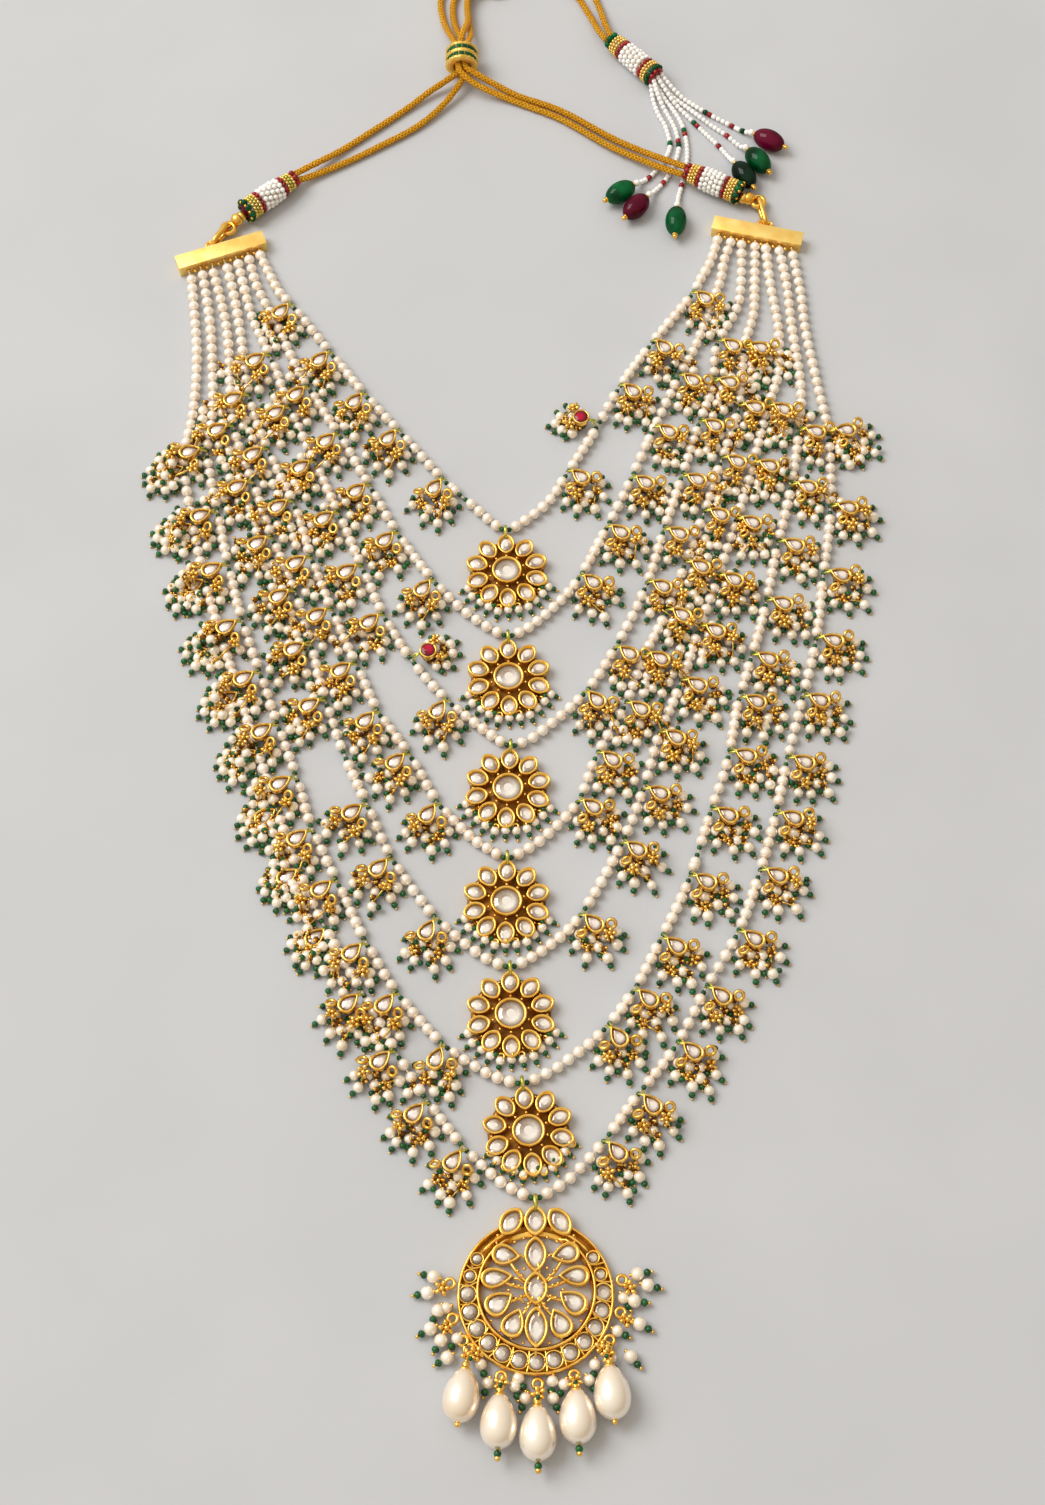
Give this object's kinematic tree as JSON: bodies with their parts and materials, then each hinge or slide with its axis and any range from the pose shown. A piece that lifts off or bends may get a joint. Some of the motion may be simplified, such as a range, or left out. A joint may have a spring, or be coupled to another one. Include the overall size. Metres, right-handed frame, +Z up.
{
  "type": "pearl string necklace",
  "caption": "Long festive necklace of nested pearl strings with stone flowers, small bunch charms and a crescent pendant, laid flat with its gold cords and bead tassel.",
  "frame": {"origin": "on the surface that the necklace lies on, under the middle of the necklace without its cords", "axes": "+X to the right as the necklace is seen from above with its cords at the far side, +Y from the pendant towards the cords, +Z up from the surface"},
  "size_m": [0.2627, 0.586, 0.0126],
  "materials": {
    "bar_gold": "satin gold plate with fine brush lines",
    "gold": "warm antique gold plate, satin",
    "charm_gold": "warm gold plate, with pearls and green seed beads",
    "slider_gold": "gold plate with green enamel dashes",
    "barrel_beads": "rows of white, gold, green and dark red seed beads",
    "seed_beads": "opaque white glass, glossy",
    "maroon_glass": "dark ruby glass, polished",
    "emerald_glass": "emerald glass, polished",
    "dark_green_glass": "very dark green glass, polished",
    "pearl": "cream pearl lustre",
    "fringe_pearl": "cream pearl lustre, with gold loops and green seed beads",
    "drop_pearl": "cream pearl lustre",
    "clear_stone": "clear cut stone over foil",
    "zari_cord": "braided metallic gold thread"
  },
  "bodies": {
    "root": {"end_bar_left": "bar_gold", "end_bar_right": "bar_gold", "link_left": "gold", "link_right": "gold", "barrel_left": "barrel_beads", "barrel_right": "barrel_beads", "barrel_eye_left": "gold", "barrel_eye_right": "gold", "barrel_tassel": "barrel_beads", "slider": "slider_gold", "dori_left_outer": "zari_cord", "dori_left_inner": "zari_cord", "dori_right": "zari_cord", "tassel_string_1": "seed_beads", "tassel_string_2": "seed_beads", "tassel_string_3": "seed_beads", "tassel_string_4": "seed_beads", "tassel_string_5": "seed_beads", "tassel_string_6": "seed_beads", "tassel_bead_1": "maroon_glass", "tassel_bead_2": "emerald_glass", "tassel_bead_3": "dark_green_glass", "tassel_bead_4": "emerald_glass", "tassel_bead_5": "maroon_glass", "tassel_bead_6": "emerald_glass", "strand_1": "pearl", "strand_2": "pearl", "strand_3": "pearl", "strand_4": "pearl", "strand_5": "pearl", "strand_6": "pearl", "strand_7": "pearl", "charms_1": "charm_gold", "charms_2": "charm_gold", "charms_3": "charm_gold", "charms_4": "charm_gold", "charms_5": "charm_gold", "charms_6": "charm_gold", "charms_7": "charm_gold", "flower_1": "gold", "flower_2": "gold", "flower_3": "gold", "flower_4": "gold", "flower_5": "gold", "flower_6": "gold", "flower_stones_1": "clear_stone", "flower_stones_2": "clear_stone", "flower_stones_3": "clear_stone", "flower_stones_4": "clear_stone", "flower_stones_5": "clear_stone", "flower_stones_6": "clear_stone", "pendant_frame": "gold", "pendant_stones": "clear_stone", "pendant_fringe": "fringe_pearl", "pendant_drop_1": "drop_pearl", "pendant_drop_2": "drop_pearl", "pendant_drop_3": "drop_pearl", "pendant_drop_4": "drop_pearl", "pendant_drop_5": "drop_pearl"}
  },
  "joints": []
}
